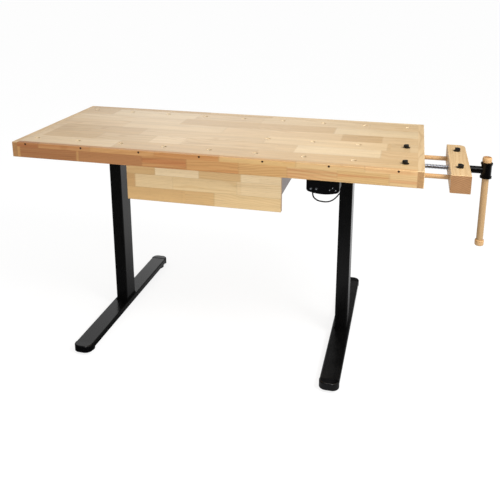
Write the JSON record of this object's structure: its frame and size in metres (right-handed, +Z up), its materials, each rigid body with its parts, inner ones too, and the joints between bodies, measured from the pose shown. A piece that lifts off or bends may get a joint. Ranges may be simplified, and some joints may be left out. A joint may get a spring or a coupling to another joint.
{
  "type": "height-adjustable woodworking bench with an end vise",
  "caption": "Motor-lifted hardwood woodworking bench on two telescopic steel columns, with dog holes, a drawer and a wooden-jawed end vise.",
  "frame": {"origin": "floor point below the middle of the whole bench, vise handle hub included", "axes": "+X along the worktop towards the vise, +Y from the front edge to the back, +Z up"},
  "size_m": [1.7244, 0.83, 0.822],
  "materials": {
    "worktop_wood": "oiled light hardwood, edge-glued staves",
    "end_strip_wood": "oiled hardwood, darker",
    "dark_peg": "dark",
    "black_powder_coat": "fine matt powder coat",
    "black_plastic": "semi-gloss moulded",
    "glide_plastic": "plain",
    "levelling_foot_plastic": "matt",
    "screw_steel": "bright steel",
    "dark_screws": "blackened",
    "motor_grey": "satin",
    "handset_plastic": "fine texture",
    "button_plastic": "satin",
    "cable_rubber": "satin",
    "drawer_carcase": "grey satin",
    "slide_steel": "zinc plated",
    "drawer_wood": "oiled light hardwood",
    "drawer_box_wood": "light plywood",
    "jaw_wood": "oiled light hardwood",
    "dowel_wood": "turned, oiled",
    "vise_steel": "turned steel",
    "hub_black": "satin black",
    "dog_plastic": "matt"
  },
  "bodies": {
    "base": {"foot_left": "black_powder_coat", "foot_right": "black_powder_coat", "foot_end_caps": "black_plastic", "outer_column_left": "black_powder_coat", "outer_column_right": "black_powder_coat", "column_base_screws": "dark_screws", "column_collars": "black_plastic", "lift_nut_tubes": "screw_steel"},
    "lift": {"inner_column_left": "black_powder_coat", "inner_column_right": "black_powder_coat", "column_glides": "glide_plastic", "gear_motors": "motor_grey", "top_brackets": "black_powder_coat", "crossbars": "black_powder_coat", "bracket_screws": "dark_screws", "control_box": "black_plastic", "handset_housing": "handset_plastic", "handset_cable": "cable_rubber", "front_edge_strip": "worktop_wood", "front_apron": "worktop_wood", "dog_board_front": "worktop_wood", "slab_board_vise": "worktop_wood", "dog_board_middle": "worktop_wood", "slab_board_centre": "worktop_wood", "dog_board_rear": "worktop_wood", "back_edge_strip": "worktop_wood", "end_strip_left": "end_strip_wood", "end_strip_right": "end_strip_wood", "edge_pegs": "dark_peg", "vise_nut": "vise_steel", "drawer_hangers": "drawer_carcase", "drawer_slide_rails": "slide_steel"},
    "levelling_foot_front_left": {"levelling_foot_front_left": "levelling_foot_plastic"},
    "levelling_foot_front_right": {"levelling_foot_front_right": "levelling_foot_plastic"},
    "levelling_foot_rear_left": {"levelling_foot_rear_left": "levelling_foot_plastic"},
    "levelling_foot_rear_right": {"levelling_foot_rear_right": "levelling_foot_plastic"},
    "lift_screw_left": {"lift_screw_left": "screw_steel"},
    "lift_screw_right": {"lift_screw_right": "screw_steel"},
    "drawer": {"drawer_front": "drawer_wood", "drawer_side_left": "drawer_box_wood", "drawer_side_right": "drawer_box_wood", "drawer_back": "drawer_box_wood", "drawer_bottom": "drawer_box_wood", "drawer_slide_runners": "slide_steel"},
    "vise_jaw": {"vise_jaw": "jaw_wood", "guide_rods": "dowel_wood"},
    "vise_screw": {"vise_screw": "vise_steel", "screw_collar": "vise_steel", "vise_hub": "hub_black"},
    "vise_handle": {"vise_handle": "dowel_wood", "handle_caps": "dowel_wood"},
    "button_up": {"button_up": "button_plastic"},
    "button_down": {"button_down": "button_plastic"},
    "button_memory_1": {"button_memory_1": "button_plastic"},
    "button_memory_2": {"button_memory_2": "button_plastic"},
    "button_memory_3": {"button_memory_3": "button_plastic"},
    "bench_dog_top_front": {"bench_dog_top_front": "dog_plastic"},
    "bench_dog_top_back": {"bench_dog_top_back": "dog_plastic"},
    "bench_dog_jaw_front": {"bench_dog_jaw_front": "dog_plastic"},
    "bench_dog_jaw_back": {"bench_dog_jaw_back": "dog_plastic"}
  },
  "joints": [
    {"name": "height_lift", "type": "slide", "parent": "base", "child": "lift", "axis": [0, 0, 1], "range_m": [0, 0.45]},
    {"name": "lift_screw_left_turn", "type": "hinge", "parent": "lift", "child": "lift_screw_left", "pos_m": [-0.58725, 0, 0.65], "axis": [0, 0, 1], "range_deg": [0, 16201]},
    {"name": "lift_screw_right_turn", "type": "hinge", "parent": "lift", "child": "lift_screw_right", "pos_m": [0.36275, 0, 0.65], "axis": [0, 0, 1], "range_deg": [0, 16201]},
    {"name": "levelling_foot_front_left_turn", "type": "hinge", "parent": "base", "child": "levelling_foot_front_left", "pos_m": [-0.58725, -0.366, 0.02], "axis": [0, 0, 1], "continuous": true},
    {"name": "levelling_foot_front_right_turn", "type": "hinge", "parent": "base", "child": "levelling_foot_front_right", "pos_m": [0.36275, -0.366, 0.02], "axis": [0, 0, 1], "continuous": true},
    {"name": "levelling_foot_rear_left_turn", "type": "hinge", "parent": "base", "child": "levelling_foot_rear_left", "pos_m": [-0.58725, 0.366, 0.02], "axis": [0, 0, 1], "continuous": true},
    {"name": "levelling_foot_rear_right_turn", "type": "hinge", "parent": "base", "child": "levelling_foot_rear_right", "pos_m": [0.36275, 0.366, 0.02], "axis": [0, 0, 1], "continuous": true},
    {"name": "drawer_slide", "type": "slide", "parent": "lift", "child": "drawer", "axis": [0, -1, 0], "range_m": [0, 0.2]},
    {"name": "vise_screw_turn", "type": "hinge", "parent": "vise_jaw", "child": "vise_screw", "pos_m": [0.78775, -0.15, 0.775], "axis": [1, 0, 0], "range_deg": [-5720, 5036]},
    {"name": "vise_jaw_slide", "type": "slide", "parent": "lift", "child": "vise_jaw", "axis": [1, 0, 0], "range_m": [-0.0795, 0.07]},
    {"name": "vise_handle_slide", "type": "slide", "parent": "vise_screw", "child": "vise_handle", "axis": [0, 0, 1], "range_m": [0, 0.226]},
    {"name": "button_up_press", "type": "slide", "parent": "lift", "child": "button_up", "axis": [0, 1, 0], "range_m": [0, 0.0012], "stiffness_N_per_m": 250},
    {"name": "button_down_press", "type": "slide", "parent": "lift", "child": "button_down", "axis": [0, 1, 0], "range_m": [0, 0.0012], "stiffness_N_per_m": 250},
    {"name": "button_memory_1_press", "type": "slide", "parent": "lift", "child": "button_memory_1", "axis": [0, 1, 0], "range_m": [0, 0.0012], "stiffness_N_per_m": 250},
    {"name": "button_memory_2_press", "type": "slide", "parent": "lift", "child": "button_memory_2", "axis": [0, 1, 0], "range_m": [0, 0.0012], "stiffness_N_per_m": 250},
    {"name": "button_memory_3_press", "type": "slide", "parent": "lift", "child": "button_memory_3", "axis": [0, 1, 0], "range_m": [0, 0.0012], "stiffness_N_per_m": 250},
    {"name": "bench_dog_top_front_lift", "type": "slide", "parent": "lift", "child": "bench_dog_top_front", "axis": [0, 0, 1], "range_m": [0, 0.03]},
    {"name": "bench_dog_top_back_lift", "type": "slide", "parent": "lift", "child": "bench_dog_top_back", "axis": [0, 0, 1], "range_m": [0, 0.03]},
    {"name": "bench_dog_jaw_front_lift", "type": "slide", "parent": "vise_jaw", "child": "bench_dog_jaw_front", "axis": [0, 0, 1], "range_m": [0, 0.03]},
    {"name": "bench_dog_jaw_back_lift", "type": "slide", "parent": "vise_jaw", "child": "bench_dog_jaw_back", "axis": [0, 0, 1], "range_m": [0, 0.03]}
  ],
  "couplings": [
    {"joint": "lift_screw_left_turn", "follows": "height_lift", "rad_per_m": 628.32},
    {"joint": "lift_screw_right_turn", "follows": "height_lift", "rad_per_m": 628.32},
    {"joint": "vise_jaw_slide", "follows": "vise_screw_turn", "m_per_rad": 0.00079577}
  ]
}
